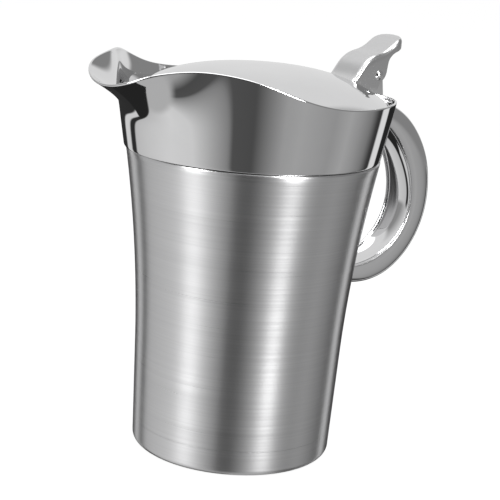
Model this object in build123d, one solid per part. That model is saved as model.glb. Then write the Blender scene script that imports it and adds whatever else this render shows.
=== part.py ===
from build123d import *
import math
import os

# Insulated gravy boat: double-walled steel vessel, spouted collar, domed lid with a thumb lever, strap handle.
# Millimetres. Origin at the centre of the foot. +Z up, spout towards -X, handle and hinge towards +X.
# Heights of the rim, the lid and the spout are measured up from the seam between the shell and the collar.
# Points of the lever, the bracket and the handle are measured out from the collar and up from the seam.

# Sheet thicknesses
shell_wall = 0.8
collar_wall = 0.8
liner_wall = 0.6
lid_wall = 1.0
lever_wall = 1.2
handle_wall = 0.8

# Outer shell: a straight lower wall that flares towards the seam
foot_radius = 38.7
wall_slope = 0.035
flare_start = 40.0
seam_height = 117.5
shell_proud = 0.26
shoulder_radius = 0.8
neck_height = 3.0
neck_step = 1.6

# Pressed base, butt-welded to the shell
base_height = 10.0
base_corner = 2.4

# Collar above the seam, with the spout drawn out of it
collar_radius_at_seam = 48.2
collar_slope = 0.19
collar_rounding = 0.0008
nose_bulge = 3.1
nose_spread = 28.8
spout_start = 13.7
spout_softness = 2.3
spout_slope = 0.52
spout_curl = 0.052
spout_spread = 16.6

# Rim line seen from the side, from the spout's tip to the hinge
rim_line = [(-74.0, 22.3), (-70.6, 26.9), (-66.0, 30.8), (-58.0, 33.5), (-46.0, 34.6), (-38.0, 33.5),
            (-29.0, 30.7), (-17.0, 26.6), (-4.0, 24.2), (10.0, 23.4), (28.0, 23.3), (42.0, 22.7), (56.0, 20.4)]

# Inner cup, its collar and the insulating space round them
insulation_gap = 4.0
floor_gap = 7.0
liner_corner = 9.0
liner_join_rise = 3.5
weld_gap = 0.03
seam_gap = 0.05

# Domed lid
lid_edge_rise = 19.9
lid_rise = 11.5
lid_power = 3.0
lid_tilt = 1.15
lid_clearance = 0.4
lid_skirt = 0.6
liner_seat_drop = 1.2
liner_seat_depth = 4.0

# Thumb lever and its pin
pin_place = (7.0, 27.8)
pin_radius = 1.2
pin_head_radius = 2.0
pin_head_height = 1.1
lever_width = 15.6
lever_fold_radius = 1.4
lever_length = 31.2
lever_tip_reach = 22.0
lever_tip_radius = 7.0
lever_foot_bow = 4.0
lever_top = [(-10.7, 25.4), (-7.0, 25.9), (-3.8, 28.9), (-0.3, 33.1), (4.3, 35.7), (8.8, 36.9), (13.2, 39.1),
             (17.4, 41.8), (22.4, 43.1)]
lever_rear = [(22.4, 41.5), (19.2, 38.3), (14.4, 36.4), (11.7, 33.7), (11.0, 29.5), (9.7, 26.4), (7.6, 24.5),
              (6.4, 22.4), (2.8, 22.0)]

# Hinge bracket between the ears of the lever
bracket_wall = 1.2
ear_clearance = 0.3
running_clearance = 0.05
press_clearance = 0.01
lug_radius = 3.4
web_height = 4.0
web_drop = 1.5
bracket_foot = [(2.8, 16.1), (11.8, 16.1), (11.8, 19.5)]
rim_clearance = 0.6

# Handle: a pressed channel closed by an inner plate
handle_width = 15.4
handle_corner = 3.4
handle_lip = 0.6
plate_gap = 0.05
handle_outer = [(-4.2, 18.8), (9.8, 17.7), (19.6, 15.1), (28.6, 10.1), (36.2, 2.6), (41.9, -6.8), (44.9, -18.5),
                (44.3, -30.6), (40.0, -41.4), (32.6, -50.2), (23.4, -55.8), (11.8, -58.1), (1.8, -57.2),
                (-12.2, -53.2)]
handle_inner = [(-6.2, 13.5), (6.8, 11.5), (16.4, 6.7), (23.8, -0.3), (29.4, -9.5), (32.7, -20.5), (32.2, -30.1),
                (28.2, -38.5), (21.2, -44.9), (11.8, -48.9), (1.8, -49.9), (-12.2, -47.9)]

# Sections through the walls: points round each, and the spacing between them
ring_points = 54
ring_spacing = 2.8
wall_spacing = 14.0
dome_sections = 9
rim_margin = 2.0

# How far a cutting block reaches past what it cuts
beyond = 40.0


def placed(points):
    """Points measured out from the collar and up from the seam, as places in the XZ plane."""
    return [(collar_radius_at_seam + out, seam_height + up) for out, up in points]


def shell_radius(height):
    """Outside radius of the brushed shell."""
    flare = collar_radius_at_seam + shell_proud - foot_radius - wall_slope * seam_height
    share = max(0.0, height - flare_start) / (seam_height - flare_start)
    return foot_radius + wall_slope * height + flare * share ** 2


def spout_turn(angle):
    """Degrees away from the spout's middle line."""
    return abs(math.degrees(math.remainder(angle - math.pi, math.tau)))


def collar_radius(angle, height):
    """Outside radius of the collar and its spout."""
    rise = height - seam_height
    plain = collar_radius_at_seam + collar_slope * rise - collar_rounding * rise ** 2
    above = rise - spout_start
    grown = (above + math.hypot(above, spout_softness)) / 2
    reach = spout_slope * grown + spout_curl * grown ** 2
    turn = spout_turn(angle)
    nose = nose_bulge * math.exp(-(turn / nose_spread) ** 2)
    return plain + nose + reach * math.exp(-(turn / spout_spread) ** 2)


def inset(radius_at, wall):
    """The same surface, moved in by a sheet's thickness measured square to it."""
    step = 0.01

    def inner(angle, height):
        radius = radius_at(angle, height)
        steep = (radius_at(angle, height + step) - radius_at(angle, height - step)) / (2 * step)
        turning = (radius_at(angle + step, height) - radius_at(angle - step, height)) / (2 * step * radius)
        return radius - wall * math.sqrt(1 + steep ** 2 + turning ** 2)

    return inner


def rim_height(across):
    """Height of the rim at a place along X, by straight lines between the rim's points."""
    for (x0, z0), (x1, z1) in zip(rim_line, rim_line[1:]):
        if across <= x1:
            return seam_height + z0 + (z1 - z0) * (max(across, x0) - x0) / (x1 - x0)
    return seam_height + rim_line[-1][1]


def liner_join_height():
    return seam_height + liner_join_rise


def lid_edge_height():
    return seam_height + lid_edge_rise


def cup_radius(height):
    """Outside radius of the liner where it is a plain cup."""
    return shell_radius(height) - shell_wall - insulation_gap


def cup_inner_radius(height):
    return cup_radius(height) - liner_wall


def liner_radius(angle, height):
    """Outside radius of the liner: a plain cup below, close against the collar at the rim."""
    against = inset(collar_radius, collar_wall)(angle, height) - weld_gap
    rim = rim_height(against * math.cos(angle))
    full = min(rim - liner_seat_depth, lid_edge_height() - liner_seat_drop)
    share = min(1.0, max(0.0, (height - liner_join_height()) / (full - liner_join_height())))
    share = share * share * (3 - 2 * share)
    return cup_radius(height) * (1 - share) + against * share


def ring(radius_at, height):
    """A closed section of a wall at one height."""
    points = []
    for step in range(ring_points):
        angle = math.tau * step / ring_points
        radius = radius_at(angle, height)
        points.append((radius * math.cos(angle), radius * math.sin(angle), height))
    return Face(Wire([Edge.make_spline(points, periodic=True)]))


def heights_between(low, high, spacing):
    """Evenly spaced heights, both ends included."""
    count = max(2, math.ceil((high - low) / spacing))
    return [low + (high - low) * step / count for step in range(count + 1)]


def turned(edges):
    """A closed outline in the XZ plane, turned round the Z axis."""
    return revolve(Face(Wire(edges)), Axis.Z, 360)


def line(start, end):
    return Edge.make_line((start[0], 0, start[1]), (end[0], 0, end[1]))


def curve(points):
    return Edge.make_spline([(x, 0, z) for x, z in points])


def corner(start, end, centre, radius):
    """A quarter-round corner between two ends, about a centre."""
    middle = ((start[0] + end[0]) / 2 - centre[0], (start[1] + end[1]) / 2 - centre[1])
    size = math.hypot(*middle)
    via = (centre[0] + middle[0] / size * radius, centre[1] + middle[1] / size * radius)
    return Edge.make_three_point_arc((start[0], 0, start[1]), (via[0], 0, via[1]), (end[0], 0, end[1]))


def outline_block(edges, half_width):
    """A closed outline in the XZ plane, given thickness to both sides of it."""
    return extrude(Face(Wire(edges)), half_width, dir=(0, 1, 0), both=True)


def cup_block(radius_at, bottom, top, round_off):
    """A solid cup shape with a rounded bottom corner, turned from a wall's radius."""
    low = bottom + round_off
    side = [(radius_at(height), height) for height in heights_between(low, top, wall_spacing)]
    foot = radius_at(low) - round_off
    return turned([
        line((0, bottom), (foot, bottom)),
        corner((foot, bottom), side[0], (foot, low), round_off),
        curve(side),
        line(side[-1], (0, top)),
        line((0, top), (0, bottom)),
    ])


def make_rim_cutter():
    """Everything above the wavy rim line."""
    rim = [(across, seam_height + rise) for across, rise in rim_line]
    ceiling = collar_top() + beyond
    left = (rim[0][0] - beyond, rim[0][1])
    right = (rim[-1][0] + beyond, rim[-1][1])
    return outline_block([
        line(left, rim[0]),
        curve(rim),
        line(rim[-1], right),
        line(right, (right[0], ceiling)),
        line((right[0], ceiling), (left[0], ceiling)),
        line((left[0], ceiling), left),
    ], collar_radius_at_seam + beyond)


def make_shell_block():
    """The outside form of the vessel below the seam, as one solid."""
    return cup_block(shell_radius, 0, seam_height, base_corner)


def make_shell():
    neck_outer = collar_radius_at_seam - neck_step
    neck_inner = neck_outer - shell_wall
    neck_top = seam_height + neck_height
    shoulder = seam_height - shoulder_radius
    outer = [(shell_radius(height), height) for height in heights_between(base_height, shoulder, wall_spacing)]
    edge = outer[-1][0]
    under = heights_between(base_height, shoulder - 2 * shell_wall, wall_spacing)
    inner = [(shell_radius(height) - shell_wall, height) for height in under]
    inner.reverse()
    return turned([
        curve(outer),
        corner(outer[-1], (edge - shoulder_radius, seam_height), (edge - shoulder_radius, shoulder), shoulder_radius),
        line((edge - shoulder_radius, seam_height), (neck_outer, seam_height)),
        line((neck_outer, seam_height), (neck_outer, neck_top)),
        line((neck_outer, neck_top), (neck_inner, neck_top)),
        line((neck_inner, neck_top), (neck_inner, seam_height - shell_wall)),
        line((neck_inner, seam_height - shell_wall), inner[0]),
        curve(inner),
        line(inner[-1], outer[0]),
    ])


def make_base():
    top = shell_radius(base_height)
    side = shell_radius(base_corner)
    foot = side - base_corner
    inner_side = side - shell_wall
    return turned([
        line((0, 0), (foot, 0)),
        corner((foot, 0), (side, base_corner), (foot, base_corner), base_corner),
        line((side, base_corner), (top, base_height)),
        line((top, base_height), (top - shell_wall, base_height)),
        line((top - shell_wall, base_height), (inner_side, base_corner)),
        corner((inner_side, base_corner), (foot, shell_wall), (foot, base_corner), base_corner - shell_wall),
        line((foot, shell_wall), (0, shell_wall)),
        line((0, shell_wall), (0, 0)),
    ])


def collar_top():
    """The height that the walls are made to before they are trimmed to the rim line."""
    return seam_height + max(rise for across, rise in rim_line) + rim_margin


def make_collar_block(rim_cutter):
    """The outside form of the collar and spout, as one solid."""
    sections = [ring(collar_radius, height) for height in heights_between(seam_height, collar_top(), ring_spacing)]
    return loft(sections) - rim_cutter


def make_collar(collar_block):
    inside = inset(collar_radius, collar_wall)
    floor = seam_height + collar_wall
    hollow = loft([ring(inside, height) for height in heights_between(floor, collar_top(), ring_spacing)])
    hole_radius = collar_radius_at_seam - neck_step + seam_gap
    hole = Pos(0, 0, seam_height) * Cylinder(hole_radius, 4 * collar_wall)
    return collar_block - hollow - hole


def make_inner_cup():
    floor = shell_wall + floor_gap
    outer = cup_block(cup_radius, floor, liner_join_height(), liner_corner)
    inner = cup_block(cup_inner_radius, floor + liner_wall, liner_join_height(), liner_corner - liner_wall)
    return outer - inner


def make_inner_collar(rim_cutter):
    """The flared upper part of the liner, with the inside of the spout."""
    inside = inset(liner_radius, liner_wall)
    heights = heights_between(liner_join_height(), collar_top(), ring_spacing)
    outer = loft([ring(liner_radius, height) for height in heights])
    inner = loft([ring(inside, height) for height in heights])
    return outer - inner - rim_cutter


def lid_radius():
    """The lid clears the liner all round at the height of its edge."""
    plain = inset(collar_radius, collar_wall + liner_wall)(math.pi / 2, lid_edge_height())
    return plain - weld_gap - lid_clearance


def dome(radius):
    return lid_rise * (1 - (radius / lid_radius()) ** lid_power)


def set_lid(solid):
    """Puts a shape made round the lid's own centre in its place."""
    return Pos(0, 0, lid_edge_height()) * Rot(0, -lid_tilt, 0) * solid


def dome_steps(last):
    return [last * math.sin(math.pi / 2 * step / dome_sections) for step in range(dome_sections + 1)]


def make_lid_block():
    """The lid's outside form filled in below, to seat the lever on."""
    top = [(radius, dome(radius)) for radius in dome_steps(lid_radius())]
    edge = lid_radius()
    return set_lid(turned([
        curve(top),
        line((edge, 0), (edge, -beyond)),
        line((edge, -beyond), (0, -beyond)),
        line((0, -beyond), (0, lid_rise)),
    ]))


def make_lid():
    edge = lid_radius()
    inner_edge = edge - lid_wall
    top = [(radius, dome(radius)) for radius in dome_steps(edge)]
    under = [(radius, dome(radius) - lid_wall) for radius in dome_steps(inner_edge)]
    under.reverse()
    return set_lid(turned([
        curve(top),
        line((edge, 0), (edge, -lid_skirt)),
        line((edge, -lid_skirt), (inner_edge, -lid_skirt)),
        line((inner_edge, -lid_skirt), under[0]),
        curve(under),
        line((0, lid_rise - lid_wall), (0, lid_rise)),
    ]))


def hinge_place():
    return placed([pin_place])[0]


def cross_bar(radius, half_length):
    """A round bar along Y through the hinge axis."""
    eye_x, eye_z = hinge_place()
    return Pos(eye_x, 0, eye_z) * Rot(90, 0, 0) * Cylinder(radius, 2 * half_length)


def make_lever(lid_block):
    """A sheet folded down at both long edges, its ears carrying the pin and its front foot shaped to the lid."""
    half = lever_width / 2
    top = placed(lever_top)
    rear = placed(lever_rear)
    front = top[0][0]
    low = lid_edge_height() - lid_wall - lid_skirt
    heel = lid_radius() - lid_wall
    block = outline_block([
        curve(top),
        line(top[-1], rear[0]),
        curve(rear),
        line(rear[-1], (heel, rear[-1][1])),
        line((heel, rear[-1][1]), (heel, low)),
        line((heel, low), (front, low)),
        line((front, low), top[0]),
    ], half)
    whole = top[-1][0] - front
    folds = [edge for edge in block.edges() if edge.bounding_box().size.X > whole - lever_wall]
    block = fillet(folds, lever_fold_radius)
    under = shifted(top, lever_wall)
    deep = low - lid_wall
    far = top[-1][0] + beyond
    hollow = outline_block([
        curve(under),
        line(under[-1], (far, under[-1][1])),
        line((far, under[-1][1]), (far, deep)),
        line((far, deep), (under[0][0], deep)),
        line((under[0][0], deep), under[0]),
    ], half - lever_wall)
    return (block - hollow - lid_block) & lever_plan() - cross_bar(pin_radius + press_clearance, lever_width)


def lever_plan():
    """The lever's outline from above: a bowed front foot and a rounded tip."""
    half = lever_width / 2
    tip = collar_radius_at_seam + lever_tip_reach
    foot = tip - lever_length
    bow = foot + lever_foot_bow
    shoulder = tip - lever_tip_radius
    nose = []
    for turn in (90, 45, 0, -45, -90):
        angle = math.radians(turn)
        nose.append((shoulder + lever_tip_radius * math.cos(angle), half * math.sin(angle), 0))
    plan = Wire([
        Edge.make_three_point_arc((bow, -half, 0), (foot, 0, 0), (bow, half, 0)),
        Edge.make_line((bow, half, 0), nose[0]),
        Edge.make_spline(nose, tangents=[(1, 0, 0), (-1, 0, 0)]),
        Edge.make_line(nose[-1], (bow, -half, 0)),
    ])
    return Pos(0, 0, seam_height) * extrude(Face(plan), lever_top[-1][1] + beyond, dir=(0, 0, 1))


def shifted(points, distance):
    """A curve's points moved square to it, to its right-hand side when walked from the first point."""
    moved = []
    for place, point in enumerate(points):
        before = points[max(place - 1, 0)]
        after = points[min(place + 1, len(points) - 1)]
        along = (after[0] - before[0], after[1] - before[1])
        size = math.hypot(*along)
        moved.append((point[0] + along[1] / size * distance, point[1] - along[0] / size * distance))
    return moved


def make_pin():
    half = lever_width / 2
    eye_x, eye_z = hinge_place()
    pin = cross_bar(pin_radius, half)
    ball = (pin_head_radius ** 2 + pin_head_height ** 2) / (2 * pin_head_height)
    for side in (-1, 1):
        centre = side * (half + pin_head_height - ball)
        dome_ball = Pos(eye_x, centre, eye_z) * Sphere(ball)
        slab = Pos(eye_x, side * (half + ball), eye_z) * Box(4 * ball, 2 * ball, 4 * ball)
        pin += dome_ball & slab
    return pin


def make_bracket(collar_block, handle_block):
    """Two lugs and the web between them, welded to the collar over the handle's root."""
    outer = lever_width / 2 - lever_wall - ear_clearance
    eye_x, eye_z = hinge_place()
    foot = placed(bracket_foot)
    rim = rim_height(foot[0][0])
    lip = (lid_radius() + lid_clearance + collar_wall + liner_wall + rim_clearance, rim + rim_clearance)
    foot = [lip, (lip[0], foot[0][1])] + foot[1:]
    eye_left = (eye_x - lug_radius, eye_z)
    eye_right = (eye_x + lug_radius, eye_z)
    side = [line(start, end) for start, end in zip(foot, foot[1:])]
    side += [
        line(foot[-1], eye_right),
        Edge.make_three_point_arc((eye_right[0], 0, eye_z), (eye_x, 0, eye_z + lug_radius), (eye_left[0], 0, eye_z)),
        line(eye_left, foot[0]),
    ]
    lugs = outline_block(side, outer)
    hollow = Box(beyond, 2 * (outer - bracket_wall), beyond)
    web = Pos(eye_x, 0, rim - web_drop - web_height / 2) * Box(beyond, 2 * outer, web_height)
    bracket = lugs - Pos(eye_x, 0, eye_z) * hollow + (web & lugs)
    bracket -= cross_bar(pin_radius + running_clearance, lever_width)
    return bracket - collar_block - handle_block


def handle_outline(outer, inner, half_width, round_off):
    """A strap between an outer and an inner line, with its outer long edges rounded."""
    block = outline_block([
        curve(outer),
        line(outer[-1], inner[-1]),
        curve(inner),
        line(inner[0], outer[0]),
    ], half_width)
    midway = (max(x for x, z in outer) + max(x for x, z in inner)) / 2
    rims = [edge for edge in block.edges() if edge.bounding_box().max.X > midway]
    return fillet(rims, round_off)


def make_handle_block():
    return handle_outline(placed(handle_outer), placed(handle_inner), handle_width / 2, handle_corner)


def make_handle(handle_block, collar_block, shell_block):
    """The pressed channel and the plate that closes it."""
    half = handle_width / 2 - handle_wall
    inner = placed(handle_inner)
    open_side = shifted(inner, 3 * handle_wall)
    hollow = handle_outline(shifted(placed(handle_outer), handle_wall), open_side, half, handle_corner - handle_wall)
    sunk = shifted(inner, -handle_lip)
    back = shifted(inner, -handle_lip - handle_wall)
    plate = outline_block([
        curve(sunk),
        line(sunk[-1], back[-1]),
        curve(back),
        line(back[0], sunk[0]),
    ], half - plate_gap)
    channel = handle_block - hollow - collar_block - shell_block
    return channel, plate - collar_block - shell_block


def main():
    os.makedirs("parts", exist_ok=True)
    rim_cutter = make_rim_cutter()
    collar_block = make_collar_block(rim_cutter)
    shell_block = make_shell_block()
    lid_block = make_lid_block()
    handle_block = make_handle_block()
    channel, plate = make_handle(handle_block, collar_block, shell_block)
    parts = {
        "outer_shell": make_shell(),
        "base_cup": make_base(),
        "spout_collar": make_collar(collar_block),
        "inner_cup": make_inner_cup(),
        "inner_collar": make_inner_collar(rim_cutter),
        "lid": make_lid(),
        "thumb_lever": make_lever(lid_block),
        "hinge_pin": make_pin(),
        "hinge_bracket": make_bracket(collar_block, handle_block),
        "handle_channel": channel,
        "handle_plate": plate,
    }
    for name, solid in parts.items():
        export_step(solid, f"parts/{name}.step")
        box = solid.bounding_box()
        print(f"{name}: {len(solid.solids())} solid, volume {solid.volume:.0f}, "
              f"x {box.min.X:.1f} to {box.max.X:.1f}, z {box.min.Z:.1f} to {box.max.Z:.1f}")


main()
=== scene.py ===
import math

import bmesh
import bpy
import numpy as np
from mathutils import Matrix, Vector


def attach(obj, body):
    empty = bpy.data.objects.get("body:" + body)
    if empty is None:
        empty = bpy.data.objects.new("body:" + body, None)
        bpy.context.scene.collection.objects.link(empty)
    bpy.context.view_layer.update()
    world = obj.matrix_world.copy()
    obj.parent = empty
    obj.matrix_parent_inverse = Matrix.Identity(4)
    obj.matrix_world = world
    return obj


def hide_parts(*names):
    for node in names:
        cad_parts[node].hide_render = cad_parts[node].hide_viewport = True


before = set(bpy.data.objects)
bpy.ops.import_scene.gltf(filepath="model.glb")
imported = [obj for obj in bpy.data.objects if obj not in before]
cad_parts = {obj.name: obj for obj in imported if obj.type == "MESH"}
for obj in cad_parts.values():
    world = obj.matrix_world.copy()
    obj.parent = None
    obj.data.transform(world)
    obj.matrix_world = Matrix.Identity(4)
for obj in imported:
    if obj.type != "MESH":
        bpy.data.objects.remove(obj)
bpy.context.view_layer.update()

# The vessel is worked out in millimetres and made metres as each piece is finished.
# +Z up, spout towards -X, hinge and handle towards +X.

# Sheet thicknesses
shell_wall = 0.8
collar_wall = 0.8
liner_wall = 0.6
lid_wall = 1.0
lever_wall = 1.2
handle_wall = 0.8

# Brushed shell and its base
foot_radius = 38.7
wall_slope = 0.035
flare_start = 40.0
seam_height = 117.5
shell_proud = 0.26
shoulder_radius = 0.9
neck_height = 3.0
neck_step = 1.6
neck_round = 0.3
base_height = 10.0
base_corner = 2.4
weld_groove = 0.04
weld_lip = 0.02

# Collar and spout
collar_radius_at_seam = 48.2
collar_slope = 0.19
collar_rounding = 0.0008
nose_bulge = 3.1
nose_spread = 28.8
spout_start = 13.7
spout_softness = 2.3
spout_slope = 0.52
spout_curl = 0.052
spout_spread = 16.6
seam_line = 0.12
seam_roll = [(0.34, 0.0), (0.12, 0.06), (0.03, 0.2)]
seam_roll_height = 0.4
rim_width = 0.95
rim_return = 0.8
rim_taper = 7.0
highest_rim = 45.0

# Rim line seen from the side, heights above the seam
rim_line = [(-74.0, 22.3), (-70.6, 26.9), (-66.0, 30.8), (-58.0, 33.5), (-46.0, 34.6), (-38.0, 33.5),
            (-29.0, 30.7), (-17.0, 26.6), (-4.0, 24.2), (10.0, 23.4), (28.0, 23.3), (42.0, 22.7), (56.0, 20.4)]

# Liner
insulation_gap = 4.0
floor_gap = 7.0
liner_corner = 9.0
liner_join_rise = 3.5
weld_gap = 0.03
liner_seat_drop = 1.2
liner_seat_depth = 4.0

# Lid
lid_edge_rise = 19.9
lid_rise = 11.5
lid_power = 3.0
lid_tilt = 1.15
lid_clearance = 0.4
lid_skirt = 0.6
lid_edge_round = 0.45
lid_hem_round = 0.2

# Thumb lever and pin, measured out from the collar and up from the seam
pin_place = (7.0, 27.8)
pin_radius = 1.2
pin_head_radius = 2.0
pin_head_height = 1.1
lever_width = 15.6
lever_fold_radius = 1.9
lever_length = 31.2
lever_tip_reach = 22.0
lever_tip_radius = 7.0
lever_foot_bow = 4.0
lever_lip = 2.4
lever_foot_sink = 0.3
least_ear_depth = 0.4
lever_top = [(-10.7, 25.4), (-7.0, 25.9), (-3.8, 28.9), (-0.3, 33.1), (4.3, 35.7), (8.8, 36.9), (13.2, 39.1),
             (17.4, 41.8), (22.4, 43.1)]
lever_rear = [(2.8, 22.0), (6.4, 22.4), (7.6, 24.5), (9.7, 26.4), (11.0, 29.5), (11.7, 33.7), (14.4, 36.4),
              (19.2, 38.3), (22.4, 41.5)]

# Hinge bracket
bracket_wall = 1.2
ear_clearance = 0.3
lug_radius = 3.4
web_height = 4.0
web_drop = 1.5
web_end_gap = 0.6
rim_clearance = 0.6
bracket_foot = [(2.8, 16.1), (11.8, 16.1), (11.8, 19.5)]

# Handle
handle_width = 15.4
handle_fullness = 4.2
plate_dish = 1.6
handle_lip = 0.6
plate_gap = 0.15
handle_outer = [(-4.2, 18.8), (9.8, 17.7), (19.6, 15.1), (28.6, 10.1), (36.2, 2.6), (41.9, -6.8), (44.9, -18.5),
                (44.3, -30.6), (40.0, -41.4), (32.6, -50.2), (23.4, -55.8), (11.8, -58.1), (1.8, -57.2),
                (-12.2, -53.2)]
handle_inner = [(-6.2, 13.5), (6.8, 11.5), (16.4, 6.7), (23.8, -0.3), (29.4, -9.5), (32.7, -20.5), (32.2, -30.1),
                (28.2, -38.5), (21.2, -44.9), (11.8, -48.9), (1.8, -49.9), (-12.2, -47.9)]
handle_sink = 0.25

# Rounded edges of bent sheet and of the bracket, and the turn in degrees above which an edge stays sharp
sheet_edge_round = 0.3
bracket_edge_round = 0.25
sharp_angle = 38


def placed(points):
    """Points measured out from the collar and up from the seam, as places in the XZ plane."""
    return [(collar_radius_at_seam + out, seam_height + up) for out, up in points]


def even_slopes(places, values):
    """The slope at each point of a line that bends evenly through all of them."""
    count = len(places)
    rows = np.zeros((count, count))
    right = np.zeros(count)
    rows[0, :2] = 2, 1
    rows[-1, -2:] = 1, 2
    right[0] = 3 * (values[1] - values[0]) / (places[1] - places[0])
    right[-1] = 3 * (values[-1] - values[-2]) / (places[-1] - places[-2])
    for here in range(1, count - 1):
        behind = places[here] - places[here - 1]
        ahead = places[here + 1] - places[here]
        rows[here, here - 1:here + 2] = ahead, 2 * (behind + ahead), behind
        right[here] = 3 * ((values[here] - values[here - 1]) * ahead / behind
                           + (values[here + 1] - values[here]) * behind / ahead)
    return np.linalg.solve(rows, right)


class SmoothLine:
    """A smooth line through points in the XZ plane, walked from 0 to 1."""

    def __init__(self, points):
        self.points = [np.array(point) for point in points]
        steps = [float(np.linalg.norm(b - a)) for a, b in zip(self.points, self.points[1:])]
        self.places = np.concatenate([[0.0], np.cumsum(steps)])
        self.slopes = [even_slopes(self.places, [point[axis] for point in self.points]) for axis in (0, 1)]

    def at(self, share):
        """The place in the XZ plane at a share of the line's length."""
        place = min(max(share, 0.0), 1.0) * self.places[-1]
        piece = min(int(np.searchsorted(self.places, place, side="right")) - 1, len(self.points) - 2)
        span = self.places[piece + 1] - self.places[piece]
        part = (place - self.places[piece]) / span
        start, end = self.points[piece], self.points[piece + 1]
        result = []
        for axis in (0, 1):
            first, last = self.slopes[axis][piece] * span, self.slopes[axis][piece + 1] * span
            result.append(start[axis] * (1 + 2 * part) * (1 - part) ** 2 + first * part * (1 - part) ** 2
                          + end[axis] * part * part * (3 - 2 * part) - last * part * part * (1 - part))
        return result

    def height_over(self, samples=600):
        """A function that gives the line's height over a place along X."""
        walk = [self.at(step / samples) for step in range(samples + 1)]
        along = [place[0] for place in walk]
        heights = [place[1] for place in walk]
        return lambda across: float(np.interp(across, along, heights))


rim_height_over = SmoothLine([(across, seam_height + rise) for across, rise in rim_line]).height_over()


def shell_radius(height):
    """Outside radius of the brushed shell."""
    flare = collar_radius_at_seam + shell_proud - foot_radius - wall_slope * seam_height
    share = max(0.0, height - flare_start) / (seam_height - flare_start)
    return foot_radius + wall_slope * height + flare * share ** 2


def collar_radius(angle, height):
    """Outside radius of the collar and its spout."""
    rise = height - seam_height
    plain = collar_radius_at_seam + collar_slope * rise - collar_rounding * rise ** 2
    above = rise - spout_start
    grown = (above + math.hypot(above, spout_softness)) / 2
    reach = spout_slope * grown + spout_curl * grown ** 2
    turn = abs(math.degrees(math.remainder(angle - math.pi, math.tau)))
    nose = nose_bulge * math.exp(-(turn / nose_spread) ** 2)
    return plain + nose + reach * math.exp(-(turn / spout_spread) ** 2)


def inset(radius_at, wall):
    """The same surface, moved in by a sheet's thickness measured square to it."""
    step = 0.01

    def inner(angle, height):
        radius = radius_at(angle, height)
        steep = (radius_at(angle, height + step) - radius_at(angle, height - step)) / (2 * step)
        turning = (radius_at(angle + step, height) - radius_at(angle - step, height)) / (2 * step * radius)
        return radius - wall * math.sqrt(1 + steep ** 2 + turning ** 2)

    return inner


collar_inside = inset(collar_radius, collar_wall)


def cup_radius(height):
    """Outside radius of the liner where it is a plain cup."""
    return shell_radius(height) - shell_wall - insulation_gap


def liner_radius(angle, height):
    """Outside radius of the liner: a plain cup below, close against the collar at the rim."""
    against = collar_inside(angle, height) - weld_gap
    rim = rim_height_over(against * math.cos(angle))
    start = seam_height + liner_join_rise
    full = min(rim - liner_seat_depth, seam_height + lid_edge_rise - liner_seat_drop)
    share = min(1.0, max(0.0, (height - start) / (full - start)))
    share = share * share * (3 - 2 * share)
    return cup_radius(height) * (1 - share) + against * share


liner_inside = inset(liner_radius, liner_wall)


def on_wall(radius_at, angle, height):
    """The point of a wall at an angle and a height."""
    radius = radius_at(angle, height)
    return Vector((radius * math.cos(angle), radius * math.sin(angle), height))


def wall_directions(radius_at, angle, height):
    """The directions up along a wall and square out of it."""
    step = 0.02
    up = (on_wall(radius_at, angle, height + step) - on_wall(radius_at, angle, height - step)).normalized()
    across = on_wall(radius_at, angle + step, height) - on_wall(radius_at, angle - step, height)
    return up, across.cross(up).normalized()


def rim_height(radius_at, angle):
    """Height at which a wall meets the rim line at an angle."""
    low, high = seam_height, seam_height + highest_rim
    for halving in range(22):
        middle = (low + high) / 2
        if middle < rim_height_over(radius_at(angle, middle) * math.cos(angle)):
            low = middle
        else:
            high = middle
    return (low + high) / 2


def lid_radius():
    plain = inset(collar_radius, collar_wall + liner_wall)(math.pi / 2, seam_height + lid_edge_rise)
    return plain - weld_gap - lid_clearance


# Mesh work

def chain(bm, points, closed):
    """A line of corners joined by edges."""
    verts = [bm.verts.new(point) for point in points]
    edges = [bm.edges.new(pair) for pair in zip(verts, verts[1:])]
    if closed:
        edges.append(bm.edges.new((verts[-1], verts[0])))
    return verts + edges


def turned(points, closed=False, steps=192):
    """A profile of radius and height, turned round the Z axis."""
    bm = bmesh.new()
    line = chain(bm, [(radius, 0, height) for radius, height in points], closed)
    bmesh.ops.spin(bm, geom=line, cent=(0, 0, 0), axis=(0, 0, 1), angle=math.tau, steps=steps, use_merge=True)
    bmesh.ops.remove_doubles(bm, verts=bm.verts, dist=1e-4)
    return bm


def wrapped(rows, place, steps=288, crowding=0.42):
    """A closed band of rows turned round the Z axis, its corners crowded at the spout."""
    bm = bmesh.new()
    line = chain(bm, [(1, 0, row) for row in range(rows)], True)
    bmesh.ops.spin(bm, geom=line, cent=(0, 0, 0), axis=(0, 0, 1), angle=math.tau, steps=steps, use_merge=True)
    rings = {}
    for vert in bm.verts:
        turn = math.atan2(vert.co.y, vert.co.x)
        key = round(turn * steps / math.tau) % steps
        rings.setdefault(key, []).append(vert)
    for key, verts in rings.items():
        turn = math.tau * key / steps
        points = place(turn + crowding * math.sin(turn))
        for vert in verts:
            vert.co = points[round(vert.co.z)]
    return bm


def sheet(across, along, place):
    """A grid whose corners are put in place by their shares across and along it."""
    bm = bmesh.new()
    bmesh.ops.create_grid(bm, x_segments=across, y_segments=along, size=1)
    for vert in bm.verts:
        vert.tag = vert.co.y < -0.999
        vert.co = place((vert.co.x + 1) / 2, (vert.co.y + 1) / 2)
    return bm


def faced(bm, wanted):
    """Turns an open sheet over if its faces point against the wanted directions."""
    bmesh.ops.recalc_face_normals(bm, faces=bm.faces)
    bm.normal_update()
    agreement = sum(face.normal.dot(wanted(face.calc_center_median())) * face.calc_area() for face in bm.faces)
    if agreement < 0:
        bmesh.ops.reverse_faces(bm, faces=bm.faces)


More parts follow.
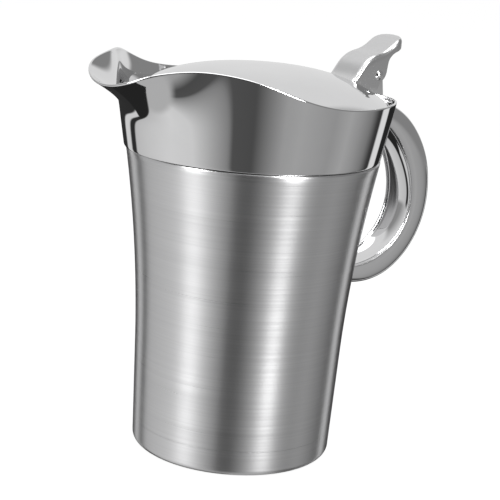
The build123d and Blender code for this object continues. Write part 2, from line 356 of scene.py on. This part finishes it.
def shown(name, bm):
    """An object made from a worked mesh and put in the scene."""
    mesh = bpy.data.meshes.new(name)
    bm.to_mesh(mesh)
    bm.free()
    made = bpy.data.objects.new(name, mesh)
    bpy.context.scene.collection.objects.link(made)
    return made


def finished(name, bm, body, nodes, finish, smooth=True, wanted=None):
    """A finished piece: metres, outward faces, its body, its CAD nodes and its material."""
    if wanted:
        faced(bm, wanted)
    else:
        bmesh.ops.recalc_face_normals(bm, faces=bm.faces)
    bmesh.ops.scale(bm, vec=(0.001, 0.001, 0.001), verts=bm.verts)
    for face in bm.faces:
        face.smooth = smooth
    piece = shown(name, bm)
    piece.data.set_sharp_from_angle(angle=math.radians(sharp_angle))
    piece.data.materials.append(finish)
    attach(piece, body)
    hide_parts(*nodes)
    return piece


def thickened(piece, wall):
    """Gives a sheet its wall, in millimetres, on the side away from its faces."""
    solid = piece.modifiers.new("wall", "SOLIDIFY")
    solid.thickness = wall / 1000
    solid.offset = -1
    solid.use_even_offset = True
    return piece


def eased(piece, width, angle):
    """Rounds a piece's edges that turn by more than an angle, in millimetres and degrees."""
    bevel = piece.modifiers.new("edges", "BEVEL")
    bevel.width = width / 1000
    bevel.segments = 3
    bevel.limit_method = "ANGLE"
    bevel.angle_limit = math.radians(angle)
    bevel.harden_normals = False
    return piece


def quarter(centre, radius, start, end, count=6):
    """Points of an arc in the XZ plane, angles in degrees."""
    arc = []
    for step in range(count + 1):
        angle = math.radians(start + (end - start) * step / count)
        arc.append((centre[0] + radius * math.cos(angle), centre[1] + radius * math.sin(angle)))
    return arc


def rising(low, high, count):
    return [low + (high - low) * step / count for step in range(count + 1)]


# Materials

class Field:
    """A number or colour that varies over a surface, held as a node's output."""

    def __init__(self, finish, socket):
        self.finish = finish
        self.socket = socket

    def joined(self, operation, first, second):
        return self.finish.node("ShaderNodeMath", {"operation": operation}, {0: first, 1: second})

    def __add__(self, other):
        return self.joined("ADD", self, other)

    def __radd__(self, other):
        return self.joined("ADD", other, self)

    def __rsub__(self, other):
        return self.joined("SUBTRACT", other, self)

    def __mul__(self, other):
        return self.joined("MULTIPLY", self, other)

    def __rmul__(self, other):
        return self.joined("MULTIPLY", other, self)


class Finish:
    """A material built from nodes."""

    def __init__(self, name):
        self.material = bpy.data.materials.new(name)
        self.material.use_nodes = True
        self.tree = self.material.node_tree
        self.tree.nodes.clear()

    def node(self, kind, settings=None, sockets=None, output=0):
        """Adds a node, sets it, and gives one of its outputs."""
        made = self.tree.nodes.new(kind)
        for key, value in (settings or {}).items():
            if key == "stops":
                stops = made.color_ramp.elements
                stops.remove(stops[-1])
                for number, (place, level) in enumerate(value):
                    stop = stops.new(place) if number else stops[0]
                    stop.position = place
                    stop.color = (level, level, level, 1)
            else:
                setattr(made, key, value)
        for key, value in (sockets or {}).items():
            if isinstance(value, Field):
                self.tree.links.new(value.socket, made.inputs[key])
            else:
                made.inputs[key].default_value = value
        return Field(self, made.outputs[output]) if made.outputs else None

    def noise(self, scale, detail=2.0, roughness=0.5):
        """Noise over the object's coordinates, scaled on each axis."""
        spot = self.node("ShaderNodeTexCoord", output="Object")
        vector = self.node("ShaderNodeMapping", {}, {"Vector": spot, "Scale": scale})
        return self.node("ShaderNodeTexNoise", {}, {"Vector": vector, "Scale": 1.0, "Detail": detail,
                                                    "Roughness": roughness})

    def tint(self, share, dark, light):
        """A colour between a dark and a light one."""
        colours = {0: share, 6: (*dark, 1), 7: (*light, 1)}
        return self.node("ShaderNodeMix", {"data_type": "RGBA"}, colours, output=2)

    def metal(self, colour, roughness, bump, bump_strength, bump_depth, anisotropy=0.0, turn=0.0):
        relief = {"Height": bump, "Strength": bump_strength, "Distance": bump_depth}
        normal = self.node("ShaderNodeBump", {}, relief)
        surface = self.node("ShaderNodeBsdfPrincipled", {}, {
            "Base Color": colour, "Metallic": 1.0, "Roughness": roughness, "Normal": normal,
            "Anisotropic": anisotropy, "Anisotropic Rotation": turn})
        self.node("ShaderNodeOutputMaterial", {}, {"Surface": surface})
        return self.material


def make_brushed_steel():
    """Satin steel with fine lines brushed round the body."""
    finish = Finish("brushed_steel")
    fine = finish.noise((12, 12, 2000), detail=3.0, roughness=0.65)
    broad = finish.noise((5, 5, 420), detail=2.0)
    cloud = finish.noise((16, 16, 10), detail=3.0)
    lines = 0.85 * fine + 0.15 * broad
    colour = finish.tint(lines, (0.60, 0.60, 0.605), (0.76, 0.76, 0.765))
    roughness = 0.23 + 0.10 * lines + 0.03 * cloud
    return finish.metal(colour, roughness, lines, 0.09, 0.0001, anisotropy=0.8, turn=0.25)


def make_polished_steel(name, dark, light, roughness, spread):
    """Polished steel with faint marks from polishing and handling."""
    finish = Finish(name)
    smear = finish.noise((60, 60, 60), detail=4.0, roughness=0.6)
    specks = finish.noise((900, 900, 900), detail=2.0)
    colour = finish.tint(smear, dark, light)
    return finish.metal(colour, roughness + spread * smear, specks, 0.02, 0.00002)


def make_liner_steel():
    """Satin steel of the cup inside."""
    finish = Finish("liner_steel")
    fine = finish.noise((20, 20, 1500), detail=3.0, roughness=0.6)
    cloud = finish.noise((30, 30, 30), detail=3.0)
    colour = finish.tint(cloud, (0.60, 0.60, 0.60), (0.70, 0.70, 0.70))
    return finish.metal(colour, 0.30 + 0.08 * fine, fine, 0.08, 0.0001, anisotropy=0.5, turn=0.25)


brushed_steel = make_brushed_steel()
mirror_steel = make_polished_steel("mirror_steel", (0.76, 0.76, 0.765), (0.83, 0.83, 0.835), 0.025, 0.025)
# The thumb lever's steel is a darker copy of the mirror steel: its darker colour is painted shade, and its higher
# roughness is its satin finish.
lever_steel_painted_shade = make_polished_steel("lever_steel_painted_shade", (0.68, 0.68, 0.685), (0.74, 0.74, 0.745), 0.20, 0.04)
liner_steel = make_liner_steel()


# Brushed shell and base

def make_outer_shell():
    neck_outer = collar_radius_at_seam - neck_step
    neck_inner = neck_outer - shell_wall
    shoulder = seam_height - shoulder_radius
    edge = shell_radius(shoulder)
    foot = base_height + weld_groove
    profile = [(shell_radius(foot) - weld_groove, foot - weld_groove + weld_lip)]
    profile += [(shell_radius(height), height) for height in rising(foot, shoulder, 44)]
    profile += quarter((edge - shoulder_radius, shoulder), shoulder_radius, 0, 90)[1:]
    profile += [(neck_outer + neck_round, seam_height), (neck_outer, seam_height + neck_round)]
    profile += [(neck_outer, seam_height + neck_height), (neck_inner, seam_height + neck_height)]
    profile += [(neck_inner, seam_height - shell_wall)]
    profile += [(shell_radius(height) - shell_wall, height) for height in rising(shoulder - 2, base_height, 12)]
    bm = turned(profile, True)
    return finished("outer_shell", bm, "vessel", ["outer_shell"], brushed_steel)


def make_base_cup():
    top = base_height - weld_groove
    foot = shell_radius(base_corner) - base_corner
    profile = [(0, 0), (foot * 0.5, 0), (foot - 1, 0)]
    profile += quarter((foot, base_corner), base_corner, -90, 0, 10)
    profile += [(shell_radius(height), height) for height in rising(base_corner, top, 4)[1:]]
    profile += [(shell_radius(top) - weld_groove, top + weld_groove - weld_lip)]
    profile += [(shell_radius(top) - shell_wall, top)]
    profile += quarter((foot, base_corner), base_corner - shell_wall, 0, -90, 6)
    profile += [(0, shell_wall)]
    return finished("base_cup", turned(profile), "vessel", ["base_cup"], brushed_steel)


# Collar with the spout and the rolled rim

def rim_frame(angle):
    """The rim's place at an angle, on the collar's surface, with the directions up and out."""
    height = rim_height(collar_radius, angle)
    up, out = wall_directions(collar_radius, angle, height)
    height -= up.z * rim_width / 2
    up, out = wall_directions(collar_radius, angle, height)
    return height, up, out


def rim_inside(angle, height, below, depth):
    """A point a depth in from the collar's outside, and a distance below the rim."""
    low = height - below
    out = wall_directions(collar_radius, angle, low)[1]
    return on_wall(collar_radius, angle, low) - out * depth


def inner_depth(below):
    """How far in the inner surface lies, a distance below the rim: the two walls thin out to the rolled edge."""
    share = min(1.0, max(0.0, below / rim_taper))
    share = share * share * (3 - 2 * share)
    return rim_width + (collar_wall + weld_gap + liner_wall - rim_width) * share


def make_spout_collar():
    outer_rows, bead_rows, back_rows = 44, 10, 8

    def place(angle):
        top, up, out = rim_frame(angle)
        bottom = seam_height + seam_line
        points = []
        for inward, rise in seam_roll:
            points.append(on_wall(inset(collar_radius, inward), angle, bottom + rise))
        for row in range(outer_rows + 1):
            share = 1 - (1 - row / outer_rows) ** 1.3
            height = bottom + seam_roll_height + (top - bottom - seam_roll_height) * share
            points.append(on_wall(collar_radius, angle, height))
        centre = points[-1] - out * rim_width / 2
        for row in range(1, bead_rows + 1):
            turn = math.pi * row / bead_rows
            points.append(centre + (out * math.cos(turn) + up * math.sin(turn)) * rim_width / 2)
        for below in (rim_return / 3, rim_return * 2 / 3, rim_return):
            points.append(rim_inside(angle, top, below, inner_depth(below)))
        for row in range(back_rows + 1):
            height = top - rim_return + (bottom + collar_wall - top + rim_return) * row / back_rows
            points.append(on_wall(collar_inside, angle, height))
        return points

    rows = len(seam_roll) + outer_rows + 1 + bead_rows + 3 + back_rows + 1
    bm = wrapped(rows, place)
    return finished("spout_collar", bm, "vessel", ["spout_collar"], mirror_steel)


def make_inner_collar():
    inner_rows, outer_rows = 30, 12
    bottom = seam_height + liner_join_rise

    def place(angle):
        top = rim_frame(angle)[0]
        points = []
        for row in range(inner_rows + 1):
            share = 1 - (1 - row / inner_rows) ** 1.5
            height = bottom + (top - rim_return - bottom) * share
            spot = on_wall(liner_inside, angle, height)
            below = top - height
            if below < rim_taper:
                out = wall_directions(collar_radius, angle, height)[1]
                spot += out * (collar_wall + weld_gap + liner_wall - inner_depth(below))
                kept = (below - rim_return) / (rim_taper - rim_return)
                spot = spot * kept + rim_inside(angle, top, below, inner_depth(below)) * (1 - kept)
            points.append(spot)
        for row in range(outer_rows + 1):
            height = top - rim_return + (bottom - top + rim_return) * row / outer_rows
            points.append(on_wall(liner_radius, angle, height))
        return points

    bm = wrapped(inner_rows + outer_rows + 2, place)
    return finished("inner_collar", bm, "vessel", ["inner_collar"], mirror_steel)


def make_inner_cup():
    floor = shell_wall + floor_gap
    top = seam_height + liner_join_rise
    low = floor + liner_corner
    foot = cup_radius(low) - liner_corner
    profile = [(0, floor), (foot * 0.6, floor)]
    profile += quarter((foot, low), liner_corner, -90, 0, 10)
    profile += [(cup_radius(height), height) for height in rising(low, top, 16)[1:]]
    profile += [(cup_radius(height) - liner_wall, height) for height in rising(top, low, 16)]
    profile += quarter((foot, low), liner_corner - liner_wall, 0, -90, 10)[1:]
    profile += [(foot * 0.6, floor + liner_wall), (0, floor + liner_wall)]
    return finished("inner_cup", turned(profile), "vessel", ["inner_cup"], liner_steel)


# Lid

def dome(radius):
    return lid_rise * (1 - (radius / lid_radius()) ** lid_power)


def make_lid():
    edge = lid_radius()
    flat = edge - lid_edge_round
    top_steps = 44
    crown = [flat * math.sin(math.pi / 2 * step / top_steps) for step in range(top_steps + 1)]
    profile = [(radius, dome(radius)) for radius in crown]
    profile += quarter((flat, dome(flat) - lid_edge_round), lid_edge_round, 62, 0, 5)
    profile += quarter((edge - lid_hem_round, lid_hem_round - lid_skirt), lid_hem_round, 0, -90, 3)
    profile += [(edge - lid_wall, -lid_skirt)]
    under = edge - lid_wall
    under_steps = 20
    hollow = [under * math.cos(math.pi / 2 * step / under_steps) for step in range(under_steps + 1)]
    profile += [(radius, dome(radius) - lid_wall) for radius in hollow]
    profile[-1] = (0, lid_rise - lid_wall)
    bm = turned(profile)
    tilt = Matrix.Rotation(math.radians(-lid_tilt), 4, "Y")
    tilt = Matrix.Translation((0, 0, seam_height + lid_edge_rise)) @ tilt
    bmesh.ops.transform(bm, matrix=tilt, verts=bm.verts)
    return finished("lid", bm, "lid_body", ["lid"], mirror_steel)


def lid_height_over(x, y):
    """Height of the lid's surface over a place."""
    radius = min(math.hypot(x, y), lid_radius())
    return seam_height + lid_edge_rise + dome(radius) + math.sin(math.radians(lid_tilt)) * x


# Thumb lever

def make_thumb_lever():
    half = lever_width / 2
    tip = collar_radius_at_seam + lever_tip_reach
    foot = tip - lever_length
    shoulder = tip - lever_tip_radius
    top_over = SmoothLine(placed(lever_top)).height_over()
    rear_over = SmoothLine(placed(lever_rear)).height_over()
    heel = placed(lever_rear)[0][0]
    pin_x, pin_z = placed([pin_place])[0]
    fold = lever_fold_radius

    def bottom_over(x, y):
        if x < heel:
            return lid_height_over(x, y) - lever_foot_sink
        return min(rear_over(x), top_over(x) - lever_lip)

    def top_place(across, along):
        """The top panel: rows from the foot to the tip, drawn in to the outline at the tip."""
        end = tip - fold
        x = foot + (end - foot) * along
        side = half - fold
        side *= math.sqrt(max(0.0, 1 - (max(0.0, x - shoulder) / (lever_tip_radius - fold)) ** 2))
        y = (across * 2 - 1) * side
        bowed = x + lever_foot_bow * (y / half) ** 2 * (1 - along) ** 2
        return Vector((bowed, y, top_over(bowed)))

    bm = sheet(20, 90, top_place)
    bmesh.ops.remove_doubles(bm, verts=bm.verts, dist=1e-4)
    rim = [edge for edge in bm.edges if edge.is_boundary and not all(vert.tag for vert in edge.verts)]
    fold_rows, ear_rows = 6, 10
    outward = {}
    for edge in rim:
        for vert in edge.verts:
            spot = vert.co
            if spot.x > shoulder:
                ahead = (spot.x - shoulder) / (lever_tip_radius - fold) ** 2
                out = Vector((ahead, spot.y / (half - fold) ** 2, 0))
            else:
                out = Vector((0, spot.y, 0))
            outward[vert] = (spot.copy(), out.normalized())
    ring = rim
    carried = {vert: vert for vert in outward}
    for row in range(1, fold_rows + ear_rows + 1):
        made = bmesh.ops.extrude_edge_only(bm, edges=ring)
        new_edges = [item for item in made["geom"] if isinstance(item, bmesh.types.BMEdge)]
        new_verts = [item for item in made["geom"] if isinstance(item, bmesh.types.BMVert)]
        next_carried = {}
        for vert in new_verts:
            near = min(carried, key=lambda old: (old.co - vert.co).length_squared)
            next_carried[vert] = carried[near]
        for vert, source in next_carried.items():
            spot, out = outward[source]
            turn = math.pi / 2 * min(1.0, row / fold_rows)
            flat = spot + out * fold * math.sin(turn)
            edge_spot = spot + out * fold
            depth = max(top_over(edge_spot.x) - bottom_over(edge_spot.x, edge_spot.y), least_ear_depth)
            round_drop = min(fold, 0.8 * depth)
            drop = round_drop * (1 - math.cos(turn))
            drop += (depth - round_drop) * max(0, row - fold_rows) / ear_rows
            vert.co = Vector((flat.x, flat.y, top_over(flat.x) - drop))
        carried = next_carried
        ring = [edge for edge in new_edges if all(vert in next_carried for vert in edge.verts)]
    middle = Vector((pin_x, 0, pin_z))
    piece = finished("thumb_lever", bm, "lid_body", ["thumb_lever"], lever_steel_painted_shade,
                     wanted=lambda spot: spot - middle)
    return eased(thickened(piece, lever_wall), sheet_edge_round, 50)


def make_hinge_pin():
    half = lever_width / 2
    profile = [(0, half + pin_head_height)]
    ball = (pin_head_radius ** 2 + pin_head_height ** 2) / (2 * pin_head_height)
    reach = math.asin(pin_head_radius / ball)
    for step in range(1, 11):
        turn = reach * step / 10
        profile.append((ball * math.sin(turn), half + pin_head_height - ball * (1 - math.cos(turn))))
    profile += [(pin_head_radius - 0.1, half), (pin_radius, half), (pin_radius, 0)]
    profile += [(radius, -height) for radius, height in reversed(profile[:-1])]
    bm = turned(profile, steps=48)
    eye_x, eye_z = placed([pin_place])[0]
    turn = Matrix.Translation((eye_x, 0, eye_z)) @ Matrix.Rotation(math.pi / 2, 4, "X")
    bmesh.ops.transform(bm, matrix=turn, verts=bm.verts)
    return finished("hinge_pin", bm, "lid_body", ["hinge_pin"], mirror_steel)


def make_hinge_bracket():
    outer = lever_width / 2 - lever_wall - ear_clearance
    eye_x, eye_z = placed([pin_place])[0]
    foot = placed(bracket_foot)
    rim = rim_height_over(foot[0][0])
    front = lid_radius() + lid_clearance + collar_wall + liner_wall + rim_clearance
    side = [(front, rim + rim_clearance), (front, foot[0][1]), foot[1], foot[2]]
    side += quarter((eye_x, eye_z), lug_radius, 0, 180, 20)
    bm = bmesh.new()
    for near in (-outer, outer - bracket_wall):
        face = bm.faces.new([bm.verts.new((x, near, z)) for x, z in side])
        made = bmesh.ops.extrude_face_region(bm, geom=[face])
        moved = [item for item in made["geom"] if isinstance(item, bmesh.types.BMVert)]
        bmesh.ops.translate(bm, vec=(0, bracket_wall, 0), verts=moved)
    web_top = rim - web_drop
    web = bmesh.ops.create_cube(bm, size=1)["verts"]
    bmesh.ops.scale(bm, vec=(foot[2][0] - front - web_end_gap, 2 * outer - 1, web_height), verts=web)
    bmesh.ops.translate(bm, vec=((foot[2][0] + front) / 2, 0, web_top - web_height / 2), verts=web)
    piece = finished("hinge_bracket", bm, "vessel", ["hinge_bracket"], mirror_steel,
                     smooth=False)
    return eased(piece, bracket_edge_round, 40)


# Handle

class Strap:
    """The handle's strap, from its root in the collar to its foot in the shell."""

    def __init__(self):
        self.outer = SmoothLine(placed(handle_outer))
        self.inner = SmoothLine(placed(handle_inner))

    def at(self, along, y, depth):
        """A point at a share along the strap, a distance across it and a share of its depth."""
        inner = self.inner.at(along)
        outer = self.outer.at(along)
        return Vector((inner[0] + (outer[0] - inner[0]) * depth, y, inner[1] + (outer[1] - inner[1]) * depth))

    def sunk(self, along, y, depth, distance):
        """A point a distance towards the outside of the strap from its inner line."""
        inner = self.inner.at(along)
        outer = self.outer.at(along)
        size = math.hypot(outer[0] - inner[0], outer[1] - inner[1])
        return self.at(along, y, depth + distance / size)

    def ends(self, point):
        """Where a line along the strap leaves the collar and enters the shell."""
        found = []
        for inside, outside, radius_at in ((0.0, 0.25, collar_radius), (1.0, 0.75, lambda a, h: shell_radius(h))):
            for halving in range(24):
                middle = (inside + outside) / 2
                spot = point(middle)
                if math.hypot(spot.x, spot.y) < radius_at(math.atan2(spot.y, spot.x), spot.z) - handle_sink:
                    inside = middle
                else:
                    outside = middle
            found.append((inside + outside) / 2)
        return found


strap = Strap()


def make_handle_channel():
    half = handle_width / 2
    power = 2 / handle_fullness
    trims = {}

    def section(across):
        turn = (across * 2 - 1) * math.pi / 2
        y = math.copysign(half * abs(math.sin(turn)) ** power, turn)
        return y, abs(math.cos(turn)) ** power if abs(across * 2 - 1) < 1 else 0.0

    def place(across, along):
        key = round(across, 5)
        y, depth = section(across)
        if key not in trims:
            trims[key] = strap.ends(lambda share: strap.at(share, y, depth))
        start, end = trims[key]
        return strap.at(start + (end - start) * along, y, depth)

    bm = sheet(48, 150, place)
    piece = finished("handle_channel", bm, "vessel", ["handle_channel"], mirror_steel,
                     wanted=lambda spot: Vector((0, spot.y, 0)))
    return eased(thickened(piece, handle_wall), sheet_edge_round, 50)


def make_handle_plate():
    half = handle_width / 2 - handle_wall - plate_gap
    trims = {}

    def place(across, along):
        y = (across * 2 - 1) * half
        key = round(across, 5)
        dish = handle_lip + plate_dish * (1 - (y / half) ** 2)
        if key not in trims:
            trims[key] = strap.ends(lambda share: strap.sunk(share, y, 0, dish))
        start, end = trims[key]
        return strap.sunk(start + (end - start) * along, y, 0, dish)

    bm = sheet(16, 120, place)
    middle = Vector((collar_radius_at_seam, 0, seam_height + handle_outer[6][1]))
    piece = finished("handle_plate", bm, "vessel", ["handle_plate"], mirror_steel,
                     wanted=lambda spot: middle - spot)
    return thickened(piece, handle_wall)


make_outer_shell()
make_base_cup()
make_spout_collar()
make_inner_collar()
make_inner_cup()
make_lid()
make_thumb_lever()
make_hinge_pin()
make_hinge_bracket()
make_handle_channel()
make_handle_plate()


# Stage: floor, surrounding cards, lamps and camera

# The photograph's own view: place in metres, heading, pitch and roll in degrees, lens in millimetres
camera_place = (-0.3673, -0.4311, 0.2232)
camera_heading = 49.3761
camera_pitch = -14.3878
camera_roll = 4.7561
camera_lens = 109.13
camera_turn = math.degrees(math.atan2(camera_place[1], camera_place[0]))

# Levels of the cards and the height that the lamps face
upper_card = 0.80
handle_card = 0.26
zenith_card = 2.6
handle_low_card = 0.07
floor_card = 0.50
gap_card = 0.02
aim_height = 0.08

# Floor, in metres
floor_radius = 4.0
floor_drop = 0.0003


def grey(level):
    return (level, level, level, 1)


def make_floor():
    """A pale floor that runs white into the background and keeps the soft shadow."""
    bm = bmesh.new()
    bmesh.ops.create_circle(bm, cap_ends=True, cap_tris=False, segments=96, radius=floor_radius)
    bmesh.ops.translate(bm, vec=(0, 0, -floor_drop), verts=bm.verts)
    floor = shown("floor", bm)
    finish = Finish("pale_floor")
    seen = finish.node("ShaderNodeLightPath", output="Is Camera Ray")
    matt = finish.node("ShaderNodeBsdfDiffuse", {}, {"Color": (0.95, 0.95, 0.95, 1)})
    white = finish.node("ShaderNodeEmission", {}, {"Color": (1, 1, 1, 1), "Strength": 1.0})
    surface = finish.node("ShaderNodeMixShader", {}, {0: seen * 0.9, 1: matt, 2: white})
    finish.node("ShaderNodeOutputMaterial", {}, {"Surface": surface})
    floor.data.materials.append(finish.material)
    floor.visible_glossy = False


def make_cards():
    """The pale and dark cards round the vessel that polished metal mirrors. The camera doesn't see them."""
    bm = turned([(0.0, -1.7), (0.9, -1.7), (1.3, -1.3), (1.3, 1.2), (0.9, 1.7), (0.0, 1.7)], steps=96)
    bmesh.ops.reverse_faces(bm, faces=bm.faces)
    cards = shown("cards", bm)
    finish = Finish("studio_cards")
    spot = finish.node("ShaderNodeTexCoord", output="Object")
    facing = finish.node("ShaderNodeMapping", {},
                         {"Vector": spot, "Rotation": (0, 0, -math.radians(camera_turn))})
    east = finish.node("ShaderNodeSeparateXYZ", {}, {"Vector": facing})
    north = Field(finish, east.socket.node.outputs[1])
    height = Field(finish, east.socket.node.outputs[2])
    reach = finish.node("ShaderNodeMath", {"operation": "SQRT"}, {0: east * east + north * north})
    around = finish.node("ShaderNodeMath", {"operation": "ARCTAN2"}, {0: north, 1: east}) * (180 / math.pi)
    rise = finish.node("ShaderNodeMath", {"operation": "ARCTAN2"}, {0: height, 1: reach}) * (180 / math.pi)

    def stripes(levels):
        share = around * (1 / 360) + 0.5
        stops = [((turn + 180) / 360, level) for turn, level in levels]
        return finish.node("ShaderNodeValToRGB", {"stops": stops}, {"Fac": share})

    def between(value, low, high):
        """0 below low, 1 above high."""
        return finish.node("ShaderNodeMapRange", {"interpolation_type": "SMOOTHSTEP"},
                           {"Value": value, "From Min": low, "From Max": high})

    def mixed(share, first, second):
        return finish.node("ShaderNodeMix", {"data_type": "RGBA"}, {0: share, 6: first, 7: second}, output=2)

    # Upright cards: angle from the camera's side in degrees, and level
    walls = stripes([(-180, 0.03), (-147, 0.03), (-144, 0.70), (-133, 0.70), (-130, 0.03), (-121, 0.03),
                     (-118, 0.58), (-62, 0.76), (-42, 0.72), (-26, 0.42), (-16, 0.25), (-13, 0.09), (2, 0.08),
                     (26, 0.38), (40, 0.42), (70, 0.34), (86, 0.42), (98, 0.34), (112, 0.22), (122, 0.05),
                     (127, 0.04), (129, 0.80), (140, 0.80), (142, 0.02), (165, 0.02), (172, 0.12), (180, 0.03)])
    above = stripes([(-180, 0.78), (-138, 0.78), (-118, 0.52), (-100, 0.30), (-20, 0.20), (-8, 0.03), (8, 0.03),
                     (20, 0.20), (100, 0.30), (118, 0.78), (180, 0.78)])
    black_low = (1 - between(around, -124, -118)) * (1 - between(rise, -37, -35))
    handle_side = between(around, 40, 55) * (1 - between(around, 143, 153))
    level = mixed(between(rise, -3, 5), walls, above)
    level = mixed(between(rise, 40, 52), level, grey(upper_card))
    handle_wall_share = handle_side * between(rise, -3, 1) * (1 - between(rise, 66, 78))
    level = mixed(handle_wall_share, level, grey(handle_card))
    level = mixed(between(rise, 66, 72), level, grey(zenith_card))
    handle_low = between(around, 62, 74) * (1 - between(around, 128, 136))
    level = mixed(handle_low * (1 - between(rise, -41, -35)), level, grey(handle_low_card))
    level = mixed(1 - between(rise, -66, -54), level, grey(floor_card))
    level = mixed(black_low, level, grey(gap_card))
    glow = finish.node("ShaderNodeEmission", {}, {"Color": level, "Strength": 1.0})
    finish.node("ShaderNodeOutputMaterial", {}, {"Surface": glow})
    cards.data.materials.append(finish.material)
    for ray in ("camera", "diffuse", "transmission", "shadow", "volume_scatter"):
        setattr(cards, "visible_" + ray, False)


def make_lamp(name, turn, distance, height, size, power):
    """A soft box that faces the vessel, at an angle from the camera's side in degrees."""
    angle = math.radians(camera_turn + turn)
    lamp = bpy.data.lights.new(name, "AREA")
    lamp.shape = "RECTANGLE"
    lamp.size, lamp.size_y = size
    lamp.energy = power
    holder = bpy.data.objects.new(name, lamp)
    holder.location = (distance * math.cos(angle), distance * math.sin(angle), height)
    aim = Vector((0, 0, aim_height)) - holder.location
    holder.rotation_euler = aim.to_track_quat("-Z", "Y").to_euler()
    holder.visible_camera = False
    bpy.context.scene.collection.objects.link(holder)


def make_world():
    world = bpy.data.worlds.new("studio")
    bpy.context.scene.world = world
    world.use_nodes = True
    tree = world.node_tree
    tree.nodes.clear()
    path = tree.nodes.new("ShaderNodeLightPath")
    seen = tree.nodes.new("ShaderNodeMath")
    seen.operation = "MAXIMUM"
    tree.links.new(path.outputs["Is Camera Ray"], seen.inputs[0])
    also = tree.nodes.new("ShaderNodeMath")
    also.operation = "MAXIMUM"
    tree.links.new(path.outputs["Is Glossy Ray"], also.inputs[0])
    tree.links.new(path.outputs["Is Transmission Ray"], also.inputs[1])
    tree.links.new(also.outputs[0], seen.inputs[1])
    level = tree.nodes.new("ShaderNodeMapRange")
    level.inputs["To Min"].default_value = 1.0
    level.inputs["To Max"].default_value = 1.0
    tree.links.new(seen.outputs[0], level.inputs["Value"])
    glow = tree.nodes.new("ShaderNodeBackground")
    tree.links.new(level.outputs["Result"], glow.inputs["Strength"])
    glow.inputs["Color"].default_value = (1, 1, 1, 1)
    tree.links.new(glow.outputs[0], tree.nodes.new("ShaderNodeOutputWorld").inputs["Surface"])


def make_camera():
    camera = bpy.data.cameras.new("camera")
    camera.sensor_width = 36
    camera.lens = camera_lens
    camera.clip_start, camera.clip_end = 0.01, 20
    holder = bpy.data.objects.new("camera", camera)
    turn = Matrix.Rotation(math.radians(camera_heading - 90), 4, "Z")
    turn = turn @ Matrix.Rotation(math.radians(camera_pitch + 90), 4, "X")
    turn = turn @ Matrix.Rotation(math.radians(camera_roll), 4, "Z")
    holder.matrix_world = Matrix.Translation(camera_place) @ turn
    bpy.context.scene.collection.objects.link(holder)
    bpy.context.scene.camera = holder


make_floor()
make_cards()
make_world()
make_camera()
make_lamp("left_box", -51, 1.0, 0.62, (0.34, 1.2), 13.5)
make_lamp("right_box", 38, 1.0, 0.56, (0.28, 1.1), 15.5)
bpy.context.scene.view_settings.view_transform = "Standard"
